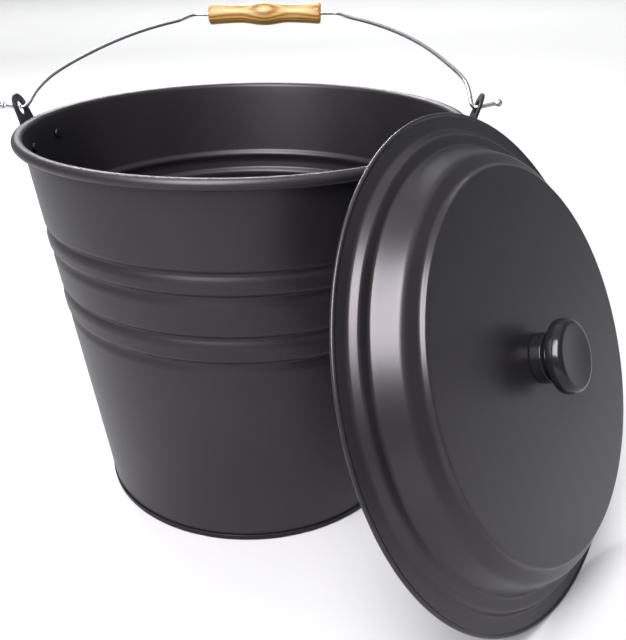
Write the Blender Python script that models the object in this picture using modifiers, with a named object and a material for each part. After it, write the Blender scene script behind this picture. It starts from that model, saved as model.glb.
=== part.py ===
"""Lidded ash bucket: a tapered sheet-steel pail with a wire bail, a turned wooden grip and a stepped lid.

The lid stands on the floor and leans on the rolled rim, knob side out, and the bail leans back in its ears.
Metres, +Z up. The origin is the centre of the bucket's flat underside, and the ears lie along X.
"""
import math

import bmesh
import bpy
from mathutils import Matrix, Vector

# Driving dimensions of the bucket
rim_radius = 0.165
bucket_height = 0.2859
base_radius = 0.1198
sheet = 0.0008
bead_radius = 0.0039
foot_height = 0.0042
foot_bend = 0.0007
bead_end_angle = math.radians(-122)

# Rib bands pressed into the wall: how far below the rim's top each band's lower and upper groove lies
band_drops = ((0.1297, 0.1104), (0.0801, 0.0639))
groove_width = 0.0054
groove_depth = 0.0012
band_swell = 0.0006

# Ears and their rivets, with heights measured down or up from the top of the rim
ear_sheet = 0.0020
ear_foot_bottom_drop = 0.0234
ear_foot_top_drop = 0.0109
ear_foot_margin = 0.00556832
ear_corner = 0.0045
ear_neck_half = 0.0122
ear_neck_drop = 0.0047
ear_head_radius = 0.0102
ear_lean_start = 0.0025
ear_lean = math.radians(18)
eye_rise = 0.0077
eye_radius = 0.0050
rivet_angle = math.radians(9)
rivet_shank = 0.0022
rivet_head_radius = 0.0040
rivet_head_height = 0.0021
rivet_tail_radius = 0.0036
rivet_tail_height = 0.0015

# Bail and grip. The wire is bent by hand, so each side has its own arc: how much smaller than the rim it
# is, how far and how wide it bulges just past the ear, and how steeply its headed tail rises
bail_sides = {
    "left": (0.0030, 0.0056, math.radians(15), math.radians(10)),
    "right": (0.0, 0.0030, math.radians(8), math.radians(22)),
}
wire_radius = 0.00155
bail_lean = math.radians(69.75)
bail_seat = 0.0019
bail_bend = 0.0036
bail_leg_inset = 0.00355677
tail_length = 0.0155
ball_radius = 0.00275
grip_play = 0.0143
kink_run = 0.0105
kink_bend = 0.0060
bulge_angle = math.radians(13)
grip_drop = 0.0090
grip_length = 0.0984
grip_end_radius = 0.0092
grip_waist_radius = 0.0077
grip_middle_radius = 0.0099
grip_swell_half = 0.0210
grip_round = 0.0012

# Lid, which is as wide as the rim: how far inside the rim's radius, and how high over its flat ring,
# each turn of its section lies
lid_ring_inset = 0.0118
lid_ledge_outer_inset = 0.0156
lid_ledge_inner_inset = 0.0232
lid_ledge_height = 0.0054
lid_shoulder_outer_inset = 0.0314
lid_shoulder_height = 0.0213
lid_shoulder_inner_inset = 0.0402
lid_crown_height = 0.0253
lid_top_inset = 0.0417
lid_top_height = 0.0288
lid_bend = 0.0026
lid_hem_radius = 0.0013
lid_hem_rise = 0.0008
lid_hem_start = math.radians(-70)
lid_hem_end = math.radians(130)
lid_tilt = math.radians(22.8)
lid_azimuth = math.radians(-33.5)

# Knob, its insert, screw and washer
knob_foot_radius = 0.0160
knob_foot_height = 0.0082
knob_neck_radius = 0.0125
knob_neck_top = 0.0125
knob_head_radius = 0.0234
knob_head_rear = 0.0160
knob_head_front = 0.0215
knob_height = 0.0236
knob_dish = 0.0008
knob_edge = 0.0013
insert_radius = 0.0042
insert_length = 0.0110
screw_radius = 0.0020
screw_head_radius = 0.0040
screw_head_height = 0.0024
screw_length = 0.0118
washer_radius = 0.0060
washer_thickness = 0.0010

# Clearances and one overrun for every cut
gap = 0.0003
bead_gap = 0.0005
hole_clearance = 0.0003
lean_gap = 0.0004
overrun = 0.0200

# Fineness of the round shapes
shell_steps = 60
knob_steps = 28
grip_steps = 24
rivet_steps = 16
hole_sides = 20
bead_segments = 9
bend_segments = 1
bail_segments = 18

# What follows the rim: the lid's width, the grip's place over the ears and the heights on the ears
lid_radius = rim_radius
grip_height = rim_radius - grip_drop
kink_span = grip_length / 2 + grip_play
ear_foot_bottom = bucket_height - ear_foot_bottom_drop
ear_foot_top = bucket_height - ear_foot_top_drop
ear_neck_height = bucket_height - ear_neck_drop
eye_height = bucket_height + eye_rise

# Colour, roughness and metallic value of each material
steel_black = ((0.030, 0.030, 0.032), 0.42, 0.0)
steel_black_inside = ((0.024, 0.024, 0.026), 0.50, 0.0)
steel_bright = ((0.62, 0.62, 0.63), 0.22, 1.0)
zinc = ((0.50, 0.50, 0.52), 0.35, 1.0)
brass = ((0.70, 0.52, 0.24), 0.35, 1.0)
wood_gold = ((0.62, 0.38, 0.14), 0.38, 0.0)
black_resin = ((0.012, 0.012, 0.013), 0.18, 0.0)

# Where the curled rim's wire lies
bead_centre_radius = rim_radius - bead_radius
bead_centre_height = bucket_height - bead_radius
curl_radius = bead_radius - sheet / 2


def wall_slope():
    """Angle from the vertical of the wall's middle surface, which is tangent to the curl's inner side."""
    across = bead_centre_radius - (base_radius - sheet / 2)
    reach = math.hypot(across, bead_centre_height)
    return math.atan2(across, bead_centre_height) - math.asin(curl_radius / reach)


slope = wall_slope()


def wall_middle(height):
    """Radius of the wall's middle surface at a height, without its ribs."""
    return base_radius - sheet / 2 + height * math.tan(slope)


def wall_outside(height):
    """Radius of the wall's outer surface at a height, without its ribs."""
    return wall_middle(height) + sheet / 2 / math.cos(slope)


def clear_scene():
    """Empty the scene of every object."""
    for item in list(bpy.data.objects):
        bpy.data.objects.remove(item, do_unlink=True)


def new_collection(name):
    """Return a new collection linked to the scene."""
    group = bpy.data.collections.new(name)
    bpy.context.scene.collection.children.link(group)
    return group


clear_scene()
parts = new_collection("ash_bucket")
cutters = new_collection("ash_bucket_cutters")


def material(name, look):
    """Return a Principled material from its colour, roughness and metallic value."""
    colour, roughness, metallic = look
    made = bpy.data.materials.new(name)
    made.use_nodes = True
    shader = made.node_tree.nodes["Principled BSDF"]
    shader.inputs["Base Color"].default_value = (*colour, 1.0)
    shader.inputs["Roughness"].default_value = roughness
    shader.inputs["Metallic"].default_value = metallic
    made.diffuse_color = (*colour, 1.0)
    return made


def add_object(name, mesh, group, look=None):
    """Link a new object to a collection, with its own material where it is a piece."""
    made = bpy.data.objects.new(name, mesh)
    group.objects.link(made)
    if look is not None:
        made.data.materials.append(material(name, look))
    else:
        made.hide_render = True
        made.display_type = "WIRE"
    return made


def polyline_mesh(name, points, closed):
    """Mesh of the edges between (radius, height) points in the XZ plane."""
    mesh = bpy.data.meshes.new(name)
    edges = [(index, index + 1) for index in range(len(points) - 1)]
    if closed:
        edges.append((len(points) - 1, 0))
    mesh.from_pydata([(radius, 0.0, height) for radius, height in points], edges, [])
    return mesh


def turned(name, outline, steps, look=None, closed=True, group=None):
    """Turn an outline about local Z; its outer side runs from top to bottom."""
    made = add_object(name, polyline_mesh(name, outline, closed), group or parts, look)
    screw = made.modifiers.new("turn", "SCREW")
    screw.axis = "Z"
    screw.angle = math.tau
    screw.steps = steps
    screw.render_steps = steps
    screw.use_merge_vertices = True
    screw.merge_threshold = sheet / 100
    screw.use_smooth_shade = False
    return made


def offset_path(path, distance):
    """Shift a path sideways to its left by a distance, with mitred corners."""
    shifted = []
    last = len(path) - 1
    for index, point in enumerate(path):
        before = (Vector(point) - Vector(path[index - 1])).normalized() if index > 0 else None
        after = (Vector(path[index + 1]) - Vector(point)).normalized() if index < last else None
        before = before or after
        after = after or before
        bisector = (before + after).normalized()
        mitre = max(bisector.dot(after), 0.5)
        shifted.append((point[0] - bisector.y * distance / mitre, point[1] + bisector.x * distance / mitre))
    return shifted


def sheet_outline(path, left, right):
    """Closed outline of a sheet that lies from left to right of a path."""
    return offset_path(path, left) + offset_path(path, -right)[::-1]


def arc(centre, radius, start, end, segments):
    """Points on an arc, both ends included."""
    turn = [start + (end - start) * index / segments for index in range(segments + 1)]
    return [(centre[0] + radius * math.cos(angle), centre[1] + radius * math.sin(angle)) for angle in turn]


def rounded(path, radius, segments):
    """Replace each inner corner of a path by a small arc."""
    smooth = [path[0]]
    for before, corner, after in zip(path[:-2], path[1:-1], path[2:]):
        corner = Vector(corner)
        back = (Vector(before) - corner).normalized()
        ahead = (Vector(after) - corner).normalized()
        half = math.acos(max(-1.0, min(1.0, back.dot(ahead)))) / 2
        cut = radius / math.tan(half)
        for index in range(segments + 1):
            share = index / segments
            start = corner + back * cut * (1 - share)
            end = corner + ahead * cut * share
            smooth.append(tuple(start * (1 - share) + end * share))
    smooth.append(path[-1])
    return smooth


def boolean(target, cutter, operation):
    """Cut, join or intersect a piece with another object."""
    step = target.modifiers.new(operation.lower(), "BOOLEAN")
    step.operation = operation
    step.solver = "EXACT"
    step.object = cutter


def cylinder_cutter(name, radius, centre, direction, length):
    """Round cutter along a direction."""
    bpy.ops.mesh.primitive_cylinder_add(vertices=hole_sides, radius=radius, depth=length)
    made = bpy.context.object
    made.name = name
    made.matrix_world = Matrix.Translation(centre) @ direction.to_track_quat("Z", "Y").to_matrix().to_4x4()
    for group in list(made.users_collection):
        group.objects.unlink(made)
    cutters.objects.link(made)
    made.hide_render = True
    made.display_type = "WIRE"
    return made


def curve_to_mesh(curve_object, look=None):
    """Swap a curve object for a closed mesh object at the same place."""
    bpy.context.view_layer.update()
    evaluated = curve_object.evaluated_get(bpy.context.evaluated_depsgraph_get())
    mesh = bpy.data.meshes.new_from_object(evaluated)
    shape = bmesh.new()
    shape.from_mesh(mesh)
    bmesh.ops.remove_doubles(shape, verts=shape.verts, dist=sheet / 100)
    bmesh.ops.recalc_face_normals(shape, faces=shape.faces)
    shape.to_mesh(mesh)
    shape.free()
    mesh.materials.clear()
    name = curve_object.name
    place = curve_object.matrix_world.copy()
    bpy.data.objects.remove(curve_object, do_unlink=True)
    made = add_object(name, mesh, cutters if look is None else parts, look)
    made.matrix_world = place
    return made


def shade(made, angle=math.radians(35)):
    """Shade a piece smooth, with its real edges kept sharp."""
    made.data.shade_smooth()
    made.data.set_sharp_from_angle(angle=angle)
    for step in made.modifiers:
        if step.type == "SCREW":
            step.use_smooth_shade = True


def wall_path():
    """Middle of the wall's sheet, from the foot up past the ribs and round the curl."""
    path = [(wall_middle(sheet + gap), sheet + gap)]
    half = groove_width / 2
    for lower, upper in band_drops:
        for drop, below, above in ((lower, 0.0, band_swell), (upper, band_swell, 0.0)):
            height = bucket_height - drop
            path.append((wall_middle(height - half) + below, height - half))
            path.append((wall_middle(height) - groove_depth, height))
            path.append((wall_middle(height + half) + above, height + half))
    centre = (bead_centre_radius, bead_centre_height)
    return path + arc(centre, curl_radius, math.pi - slope, bead_end_angle, bead_segments)


def make_wall(rivet_cutters):
    """Tapered wall with its rib bands and curled rim, one sheet."""
    outline = sheet_outline(wall_path(), sheet / 2, sheet / 2)
    made = turned("bucket_wall", outline, shell_steps, steel_black)
    for cutter in rivet_cutters:
        boolean(made, cutter, "DIFFERENCE")
    shade(made)
    return made


def make_rim_wire():
    """Wire hoop inside the curled rim."""
    radius = bead_radius - sheet - bead_gap
    bpy.ops.mesh.primitive_torus_add(
        location=(0, 0, bead_centre_height), major_segments=shell_steps, minor_segments=6,
        major_radius=bead_centre_radius, minor_radius=radius)
    made = bpy.context.object
    made.name = "rim_wire"
    made.data.name = "rim_wire"
    made.data.materials.append(material("rim_wire", zinc))
    for group in list(made.users_collection):
        group.objects.unlink(made)
    parts.objects.link(made)
    shade(made, math.radians(75))
    return made


def make_base():
    """Flat bottom pan whose edge turns up round the outside of the wall."""
    inside = wall_outside(0.0) + gap
    corner = (inside + sheet / 2, sheet / 2)
    top = (corner[0] + (foot_height - corner[1]) * math.tan(slope), foot_height)
    path = rounded([(0.0, sheet / 2), corner, top], foot_bend, 2)
    outline = offset_path(path, sheet / 2) + offset_path(path, -sheet / 2)[::-1]
    made = turned("base_panel", outline, shell_steps, steel_black, closed=False)
    shade(made)
    return made


def ear_path():
    """Middle of an ear's plate as (radius, height): up the wall, out round the curl, then leaning out."""
    half = ear_sheet / 2
    on_wall = [(wall_outside(height) + gap + half, height) for height in (ear_foot_bottom, ear_foot_top)]
    stand_off = bead_radius + gap + half
    run = bead_centre_radius - on_wall[1][0]
    rise = bead_centre_height - ear_foot_top
    climb = math.atan2(rise, run) - math.asin(stand_off / math.hypot(run, rise))
    outer = bead_centre_radius + stand_off
    joggle_top = ear_foot_top + (outer - on_wall[1][0]) * math.tan(climb)
    lean_from = bead_centre_height + ear_lean_start
    tip = eye_height + ear_head_radius + overrun / 4
    lean_end = outer + (tip - lean_from) * math.tan(ear_lean)
    return on_wall + [(outer, joggle_top), (outer, lean_from), (lean_end, tip)]


def ear_radius(height):
    """Radius of the middle of the ear's leaning stretch at a height."""
    outer, lean_from = ear_path()[3]
    return outer + (height - lean_from) * math.tan(ear_lean)


def ear_outline():
    """Front view of an ear as (across, height): wide foot, neck and round head."""
    reach = math.hypot(ear_neck_half, eye_height - ear_neck_height)
    touch = math.acos(ear_head_radius / reach) - math.atan2(eye_height - ear_neck_height, ear_neck_half)
    rivets_across = wall_outside((ear_foot_bottom + ear_foot_top) / 2) * math.sin(rivet_angle)
    foot_half = rivets_across + ear_foot_margin
    foot_side = foot_half - ear_corner
    corner = (foot_side, ear_foot_bottom + ear_corner)
    head = arc((0.0, eye_height), ear_head_radius, touch, math.pi - touch, 10)
    shoulder = [(foot_half, ear_foot_top - ear_corner / 2), (ear_neck_half, ear_neck_height)]
    right = arc(corner, ear_corner, -math.pi / 2, 0.0, 3) + shoulder
    left = [(-across, height) for across, height in reversed(right)]
    return right + head + left


def ear_blank(name, turn):
    """Prism of the ear's front view, which reaches through the wall's side."""
    curve = bpy.data.curves.new(name, "CURVE")
    curve.dimensions = "2D"
    curve.fill_mode = "BOTH"
    curve.extrude = overrun
    line = curve.splines.new("POLY")
    points = ear_outline()
    line.points.add(len(points) - 1)
    for target, (across, height) in zip(line.points, points):
        target.co = (across, height, 0.0, 1.0)
    line.use_cyclic_u = True
    made = bpy.data.objects.new(name, curve)
    cutters.objects.link(made)
    stand = Matrix(((0, 0, 1, rim_radius), (1, 0, 0, 0), (0, 1, 0, 0), (0, 0, 0, 1)))
    made.matrix_world = Matrix.Rotation(turn, 4, "Z") @ stand
    return curve_to_mesh(made)


def make_ear(side, turn, rivet_cutters):
    """Pressed ear: a turned ring of its section kept only within its front view, then drilled."""
    half = ear_sheet / 2
    outline = sheet_outline(ear_path(), half, half)
    made = turned("ear_" + side, outline, shell_steps, steel_black)
    boolean(made, ear_blank("ear_blank_" + side, turn), "INTERSECT")
    outward = Matrix.Rotation(turn, 4, "Z") @ Vector((1, 0, 0))
    centre = outward * ear_radius(eye_height) + Vector((0, 0, eye_height))
    eye = cylinder_cutter("eye_cutter_" + side, eye_radius, centre, outward, overrun)
    for cutter in [eye] + rivet_cutters:
        boolean(made, cutter, "DIFFERENCE")
    shade(made)
    return made


def facet_share(azimuth):
    """Distance from the axis of a shell's facets at an azimuth, as a share of that of its vertices."""
    step = math.tau / shell_steps
    off_middle = azimuth % step - step / 2
    return math.cos(step / 2) / math.cos(off_middle)


def rivet_place(azimuth):
    """Point on the wall's outer facet and its normal, where a rivet goes through."""
    height = (ear_foot_bottom + ear_foot_top) / 2
    around = Vector((math.cos(azimuth), math.sin(azimuth), 0.0))
    normal = around * math.cos(slope) - Vector((0, 0, math.sin(slope)))
    return around * wall_outside(height) * facet_share(azimuth) + Vector((0, 0, height)), normal


def make_rivet(name, azimuth):
    """Domed rivet with its tail set inside the wall."""
    head = gap + ear_sheet + gap
    tail = -(sheet + gap)
    point = arc((0.0, head), rivet_head_radius, math.pi / 2, 0.0, 4)
    dome = [(across, head + (rise - head) * rivet_head_height / rivet_head_radius) for across, rise in point]
    outline = dome + [(rivet_shank, head), (rivet_shank, tail), (rivet_tail_radius, tail)]
    outline += [(rivet_tail_radius * 0.8, tail - rivet_tail_height), (0.0, tail - rivet_tail_height)]
    made = turned(name, outline, rivet_steps, steel_black, closed=False)
    place, normal = rivet_place(azimuth)
    made.matrix_world = Matrix.Translation(place) @ normal.to_track_quat("Z", "Y").to_matrix().to_4x4()
    shade(made)
    return made


def rivet_cutter(name, azimuth):
    """Hole through wall and ear for one rivet."""
    place, normal = rivet_place(azimuth)
    return cylinder_cutter(name, rivet_shank + hole_clearance, place, normal, overrun / 2)


def bail_half(side):
    """Centre line of one side of the bail from the grip's middle to its ball, as (across, up) in its plane.

    Past the kink the wire follows a circle with a soft outward bulge near the ear, then bends out through
    the eye.
    """
    smaller, bulge, width, tail_angle = bail_sides[side]
    radius = rim_radius - smaller
    leg_radius = ear_radius(eye_height) - bail_leg_inset
    kink_end = kink_span + kink_run
    start = math.acos(kink_end / radius)
    end = math.asin(bail_bend / leg_radius)
    sweep = []
    for index in range(bail_segments + 1):
        angle = start + (end - start) * index / bail_segments
        swell = bulge * math.exp(-((angle - bulge_angle) / width) ** 2)
        sweep.append(((radius + swell) * math.cos(angle), (radius + swell) * math.sin(angle)))
    straight = [(0.0, grip_height), (kink_span, grip_height)]
    path = rounded(straight + sweep[:2], kink_bend, 3)[:-1] + sweep[1:-1]
    bend = arc((leg_radius + bail_bend, bail_bend), bail_bend, math.pi, 1.5 * math.pi + tail_angle, 7)
    tail = Vector(bend[-1]) + tail_length * Vector((math.cos(tail_angle), math.sin(tail_angle)))
    return path + bend + [tuple(tail)]


def make_bail(pivot):
    """Wire bail with a headed end outside each ear."""
    left = [(-across, up) for across, up in reversed(bail_half("left")[1:])]
    line = left + bail_half("right")
    curve = bpy.data.curves.new("bail_wire", "CURVE")
    curve.dimensions = "3D"
    curve.bevel_depth = wire_radius
    curve.bevel_resolution = 2
    curve.use_fill_caps = True
    spline = curve.splines.new("POLY")
    spline.points.add(len(line) - 1)
    for target, (across, up) in zip(spline.points, line):
        target.co = (across, 0.0, up, 1.0)
    wire = bpy.data.objects.new("bail_wire", curve)
    parts.objects.link(wire)
    made = curve_to_mesh(wire, steel_bright)
    made.parent = pivot
    for index, end in enumerate((line[0], line[-1])):
        bpy.ops.mesh.primitive_uv_sphere_add(segments=14, ring_count=8, radius=ball_radius)
        ball = bpy.context.object
        ball.name = f"ball_{index}"
        ball.parent = pivot
        ball.location = (end[0], 0.0, end[1])
        for group in list(ball.users_collection):
            group.objects.unlink(ball)
        cutters.objects.link(ball)
        ball.hide_render = True
        ball.display_type = "WIRE"
        boolean(made, ball, "UNION")
    shade(made, math.radians(60))
    return made


def grip_radius(along):
    """Turned shape of the grip: a swell in the middle, a waist each side and flared ends."""
    distance = abs(along)
    if distance < grip_swell_half:
        share = 0.5 + 0.5 * math.cos(math.pi * distance / grip_swell_half)
        return grip_waist_radius + (grip_middle_radius - grip_waist_radius) * share
    share = (distance - grip_swell_half) / (grip_length / 2 - grip_swell_half)
    return grip_waist_radius + (grip_end_radius - grip_waist_radius) * share ** 1.6


def make_grip(pivot):
    """Turned wooden grip with a through bore for the wire."""
    half = grip_length / 2
    rings = 14
    body = half - grip_round
    bore = wire_radius + hole_clearance
    outline = [(grip_radius(half) - grip_round, half)]
    for index in range(rings + 1):
        along = body - 2 * body * index / rings
        outline.append((grip_radius(along), along))
    outline.append((grip_radius(half) - grip_round, -half))
    outline += [(bore, -half), (bore, half)]
    made = turned("bail_grip", outline, grip_steps, wood_gold)
    made.parent = pivot
    made.matrix_local = Matrix.Translation((0, 0, grip_height)) @ Matrix.Rotation(math.pi / 2, 4, "Y")
    shade(made)
    return made


def lid_path():
    """Outer face of the lid as (radius, height over the ring), from the rolled hem in to the screw hole."""
    centre = (lid_radius - lid_hem_radius, lid_hem_rise - lid_hem_radius)
    hem = arc(centre, lid_hem_radius, lid_hem_start, lid_hem_end, 4)
    levels = [(hem[-1][0] - lid_hem_rise, 0.0), (lid_radius - lid_ring_inset, 0.0)]
    levels += [(lid_radius - lid_ledge_outer_inset, lid_ledge_height)]
    levels += [(lid_radius - lid_ledge_inner_inset, lid_ledge_height)]
    levels += [(lid_radius - lid_shoulder_outer_inset, lid_shoulder_height)]
    levels += [(lid_radius - lid_shoulder_inner_inset, lid_crown_height)]
    levels += [(lid_radius - lid_top_inset, lid_top_height), (screw_radius + hole_clearance, lid_top_height)]
    return hem + rounded(levels, lid_bend, bend_segments)


def profile_distance(point, path):
    """Distance from a (radius, height) point to a path."""
    nearest = math.inf
    spot = Vector(point)
    for start, end in zip(path[:-1], path[1:]):
        start = Vector(start)
        along = Vector(end) - start
        share = max(0.0, min(1.0, (spot - start).dot(along) / along.length_squared))
        nearest = min(nearest, (spot - start - along * share).length)
    return nearest


def lid_stand_height():
    """Height of the lid's own origin when its lowest edge is on the floor."""
    faces = lid_path() + offset_path(lid_path(), sheet)
    return max(radius * math.cos(lid_tilt) - height * math.sin(lid_tilt) for radius, height in faces)


def wall_clearance(distance, height):
    """Least distance from the lid's faces to the wall below the curl, for the place of the lid's origin."""
    clearance = math.inf
    for radius, rise in lid_path() + offset_path(lid_path(), sheet):
        for index in range(61):
            turn = math.pi * index / 60
            across = radius * math.cos(turn)
            out = distance + rise * math.cos(lid_tilt) + across * math.sin(lid_tilt)
            up = height + rise * math.sin(lid_tilt) - across * math.cos(lid_tilt)
            if up < bead_centre_height:
                reach = math.hypot(out, radius * math.sin(turn)) - wall_outside(up)
                clearance = min(clearance, reach * math.cos(slope))
    return clearance


def lid_lean_distance():
    """How far out the lid's origin lies when it comes to rest against the curled rim, or a tall wall.

    The lid starts clear of the rim and moves in by its clearance each time, so it never passes the contact.
    """
    inside = offset_path(lid_path(), sheet)
    normal = (math.cos(lid_tilt), math.sin(lid_tilt))
    samples = [math.pi / 2 * index / 60 for index in range(61)]
    height = lid_stand_height()
    distance = rim_radius + lid_radius + lid_top_height
    for _ in range(30):
        clearance = wall_clearance(distance, height)
        for turn in samples:
            out = bead_centre_radius * math.cos(turn) - distance
            side = bead_centre_radius * math.sin(turn)
            up = bead_centre_height - height
            depth = out * normal[0] + up * normal[1]
            climb = up * normal[0] - out * normal[1]
            spot = (math.hypot(climb, side), depth)
            clearance = min(clearance, profile_distance(spot, inside) - bead_radius)
        distance -= clearance - lean_gap
    return distance


def make_lid():
    """Stepped lid with its knob, carried by an empty that holds its place and lean."""
    frame = bpy.data.objects.new("lid_frame", None)
    parts.objects.link(frame)
    out = lid_lean_distance()
    place = Vector((out * math.cos(lid_azimuth), out * math.sin(lid_azimuth), lid_stand_height()))
    lean = Matrix.Rotation(lid_azimuth, 4, "Z") @ Matrix.Rotation(math.pi / 2 - lid_tilt, 4, "Y")
    frame.matrix_world = Matrix.Translation(place) @ lean
    shell = turned("lid_shell", sheet_outline(lid_path(), sheet, 0.0), shell_steps, steel_black)
    shell.parent = frame
    shade(shell)
    return frame


def make_knob(frame):
    """Moulded knob with its brass insert, and the screw and washer inside the lid."""
    seat = gap
    pocket_radius = insert_radius + hole_clearance
    pocket_depth = seat + gap + insert_length + gap
    outline = [(0.0, knob_height - knob_dish)]
    outline += [(knob_head_radius * 0.55, knob_height - knob_dish * 0.4)]
    outline += [(knob_head_radius * 0.88, knob_height)]
    outline += arc((knob_head_radius - knob_edge, knob_head_front), knob_edge, math.pi / 2, 0.0, 2)
    outline += [(knob_head_radius, knob_head_rear)]
    outline += [(knob_head_radius - 1.5 * knob_edge, knob_neck_top + knob_edge)]
    outline += [(knob_neck_radius + knob_edge, knob_neck_top), (knob_neck_radius, knob_neck_top - knob_edge)]
    outline += [(knob_neck_radius, knob_foot_height), (knob_foot_radius - knob_edge, knob_foot_height)]
    outline += [(knob_foot_radius, knob_foot_height - knob_edge), (knob_foot_radius, seat)]
    outline += [(pocket_radius, seat), (pocket_radius, pocket_depth), (0.0, pocket_depth)]
    knob = turned("lid_knob", outline, knob_steps, black_resin, closed=False)
    bore = screw_radius + hole_clearance
    insert_bottom = seat + gap
    insert = [(insert_radius, insert_bottom + insert_length), (insert_radius, insert_bottom)]
    insert += [(bore, insert_bottom), (bore, insert_bottom + insert_length)]
    threaded = turned("knob_insert", insert, knob_steps, brass)
    washer_top = -(sheet + gap)
    washer_bottom = washer_top - washer_thickness
    ring = [(washer_radius, washer_top), (washer_radius, washer_bottom)]
    ring += [(bore, washer_bottom), (bore, washer_top)]
    washer = turned("knob_washer", ring, knob_steps, zinc)
    head_top = washer_bottom - gap
    head_bottom = head_top - screw_head_height
    tip = head_top + screw_length
    pin = [(0.0, tip), (screw_radius * 0.7, tip), (screw_radius, tip - screw_radius / 2)]
    pin += [(screw_radius, head_top), (screw_head_radius, head_top)]
    pin += [(screw_head_radius * 0.75, head_bottom), (0.0, head_bottom)]
    screw = turned("knob_screw", pin, knob_steps // 2, zinc, closed=False)
    for piece in (knob, threaded, washer, screw):
        piece.parent = frame
        piece.location = (0.0, 0.0, lid_top_height)
        shade(piece)


def make_bucket():
    """Wall, rim wire, bottom, ears and rivets."""
    holes = {}
    sides = {"left": math.pi, "right": 0.0}
    for side, turn in sides.items():
        front = rivet_angle if side == "left" else -rivet_angle
        for end, azimuth in (("front", turn + front), ("back", turn - front)):
            name = f"ear_rivet_{side}_{end}"
            make_rivet(name, azimuth)
            holes.setdefault(side, []).append(rivet_cutter(f"hole_{side}_{end}", azimuth))
    make_wall(holes["left"] + holes["right"])
    make_rim_wire()
    make_base()
    for side, turn in sides.items():
        make_ear(side, turn, holes[side])


def make_handle():
    """Bail and grip on an empty on their pivot axis, where the wire bears on the back edge of each eye."""
    pivot = bpy.data.objects.new("bail_pivot", None)
    parts.objects.link(pivot)
    pivot.location = (0.0, bail_seat, eye_height)
    pivot.rotation_euler = (-bail_lean, 0.0, 0.0)
    bpy.context.view_layer.update()
    make_bail(pivot)
    make_grip(pivot)


make_bucket()
make_handle()
make_knob(make_lid())
bpy.context.view_layer.update()
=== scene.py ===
"""Dressed ash bucket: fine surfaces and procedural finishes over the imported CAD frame.

Every new piece is a grid of points worked out with numpy from the same section as its CAD node. Lengths are
in metres and +Z is up.
"""
import math

import bmesh
import bpy
import numpy as np
from mathutils import Matrix, Vector


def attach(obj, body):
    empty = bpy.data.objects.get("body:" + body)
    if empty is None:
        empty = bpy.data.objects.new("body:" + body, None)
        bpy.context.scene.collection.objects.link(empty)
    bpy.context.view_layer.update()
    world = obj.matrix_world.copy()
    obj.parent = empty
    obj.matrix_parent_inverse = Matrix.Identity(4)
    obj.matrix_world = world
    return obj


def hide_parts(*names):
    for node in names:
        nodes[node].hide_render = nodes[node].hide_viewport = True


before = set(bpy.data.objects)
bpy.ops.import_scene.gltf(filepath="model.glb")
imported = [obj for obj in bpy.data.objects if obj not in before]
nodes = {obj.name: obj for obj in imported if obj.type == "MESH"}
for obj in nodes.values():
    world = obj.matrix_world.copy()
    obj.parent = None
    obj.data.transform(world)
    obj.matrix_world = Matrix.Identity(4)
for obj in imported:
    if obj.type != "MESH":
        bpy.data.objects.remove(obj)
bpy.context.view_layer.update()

# Bucket wall, its rib bands and the curled rim
rim_radius = 0.165
bucket_height = 0.2859
base_radius = 0.1198
sheet = 0.0008
gap = 0.0003
bead_radius = 0.0039
bead_end = math.radians(-122)
foot_height = 0.0042
foot_bend = 0.0009
bands = ((0.1562, 0.1755), (0.2058, 0.2220))
groove_above = 0.0040
groove_below = 0.0080
groove_depth = 0.0016
band_swell = 0.0007
swell_run = 0.004
rib_margin = 0.008
bead_centre = np.array([rim_radius - bead_radius, bucket_height - bead_radius])
curl_radius = bead_radius - sheet / 2

# Ears and rivets
ear_sheet = 0.0020
ear_foot_bottom = 0.2625
ear_foot_top = 0.2750
ear_foot_half = 0.0300
ear_corner = 0.0045
ear_neck_half = 0.0122
ear_neck_height = 0.2812
ear_head_radius = 0.0102
ear_head_spare = 0.0050
ear_bends = (0.0020, 0.0020, 0.0030)
ear_neck_rounds = (0.0022, 0.0040)
ear_edge = 0.00035
ear_lean_start = 0.0025
ear_lean = math.radians(18)
eye_height = 0.2936
eye_radius = 0.0050
rivet_head_radius = 0.0040
rivet_head_height = 0.0021
rivet_shank = 0.0022
rivet_tail_radius = 0.0036
rivet_tail_height = 0.0015
rivet_tail_share = 0.8
rivet_rounds = (0.0004, 0.0002, 0.0004, 0.0006)
rivet_azimuth = math.radians(9)

# Flats round the CAD wall: in the middle of one, where a rivet sits, its face lies nearer to the axis
cad_wall_steps = 60

# Bail and grip; a side of the bail is its circle's radius, its bulge's height and width, and its tail's angle
bail_sides = {
    "left": (0.1620, 0.0056, math.radians(15), math.radians(10)),
    "right": (0.1650, 0.0030, math.radians(8), math.radians(22)),
}
wire_radius = 0.00155
bail_lean = math.radians(69.75)
bail_seat = 0.0019
bail_bend = 0.0036
bail_leg_radius = 0.1657
tail_length = 0.0155
ball_radius = 0.00275
kink_span = 0.0635
kink_run = 0.0105
kink_radius = 0.0080
bulge_angle = math.radians(13)
line_step = 0.0008
line_spread = 0.0011
ring_step = 0.0012
grip_height = 0.1560
grip_length = 0.0984
grip_end_radius = 0.0092
grip_waist_radius = 0.0077
grip_middle_radius = 0.0099
grip_swell_half = 0.0210
grip_flare_power = 1.6
grip_round = 0.0021
ripple_height = 0.000012
ripple_rate = 5200
ripple_fade_rate = 310

# Countersink of the grip's bore: (how much wider than the bore, how far below the grip's end)
grip_sink = ((0.0, 0.0012), (0.0004, 0.0004), (0.0012, 0.0))

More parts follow.
